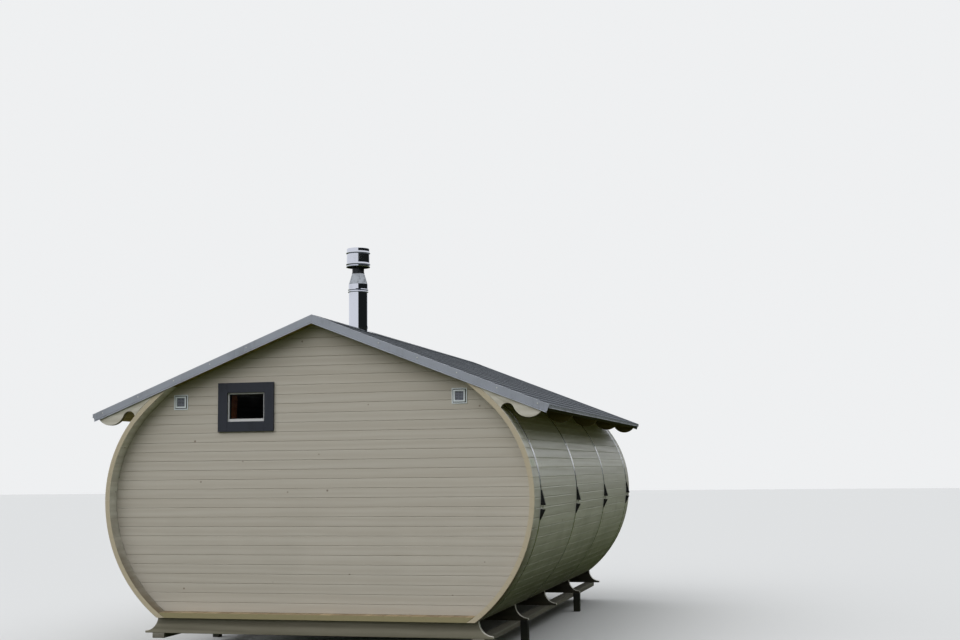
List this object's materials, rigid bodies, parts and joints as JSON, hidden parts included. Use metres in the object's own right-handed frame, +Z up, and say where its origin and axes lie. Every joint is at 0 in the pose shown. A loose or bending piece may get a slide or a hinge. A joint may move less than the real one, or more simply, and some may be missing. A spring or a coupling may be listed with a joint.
{
  "type": "barrel cabin",
  "caption": "Oval timber barrel cabin with flat floor, low shingled gable roof, steel hoops, cradles, end window, plank door and a capped chimney.",
  "frame": {"origin": "on the ground, below the middle of the cabin", "axes": "+Z up, +Y along the cabin towards the door end, -Y towards the end with the window, +X across"},
  "size_m": [4.28, 5.93, 3.809],
  "materials": {
    "stave_wood": "weathered grey softwood",
    "wall_wood": "weathered boards",
    "floor_wood": "plain softwood",
    "base_wood": "weathered, slightly green",
    "roof_wood": "plain softwood",
    "frame_wood": "pale softwood",
    "casing_wood": "painted dark grey",
    "shingles": "mineral-coated bitumen",
    "flashing": "pale grey coating",
    "hoop_steel": "dull stainless",
    "chimney_steel": "brushed stainless",
    "vent_plastic": "pale rim",
    "grille_plastic": "dark louvres",
    "hardware": "black",
    "glass": "clear"
  },
  "bodies": {
    "root": {"chimney_boot": "chimney_steel", "chimney_cap": "chimney_steel", "chimney_collar": "chimney_steel", "chimney_cone": "chimney_steel", "chimney_pipe": "chimney_steel", "cradle_1": "base_wood", "cradle_2": "base_wood", "cradle_3": "base_wood", "cradle_4": "base_wood", "cradle_5": "base_wood", "door_frame": "frame_wood", "door_handle": "hardware", "door_hinges": "hardware", "door_leaf": "wall_wood", "eave_brackets_left": "stave_wood", "eave_brackets_right": "stave_wood", "floor": "floor_wood", "front_wall_left": "wall_wood", "front_wall_over_door": "wall_wood", "front_wall_right": "wall_wood", "hoops": "hoop_steel", "rear_wall": "wall_wood", "ridge_cap": "shingles", "roof_deck_left": "roof_wood", "roof_deck_right": "roof_wood", "runner_left": "base_wood", "runner_right": "base_wood", "shingles_left": "shingles", "shingles_right": "shingles", "side_wall_left_lower": "stave_wood", "side_wall_left_shoulder": "stave_wood", "side_wall_left_upper": "stave_wood", "side_wall_right_lower": "stave_wood", "side_wall_right_shoulder": "stave_wood", "side_wall_right_upper": "stave_wood", "support_posts": "base_wood", "tensioner_brackets": "hoop_steel", "tensioner_rods": "hoop_steel", "vent_frames": "vent_plastic", "vent_grilles": "grille_plastic", "verge_flashing_front": "flashing", "verge_flashing_rear": "flashing", "window_casing": "casing_wood", "window_frame": "frame_wood", "window_glass": "glass"}
  },
  "joints": []
}
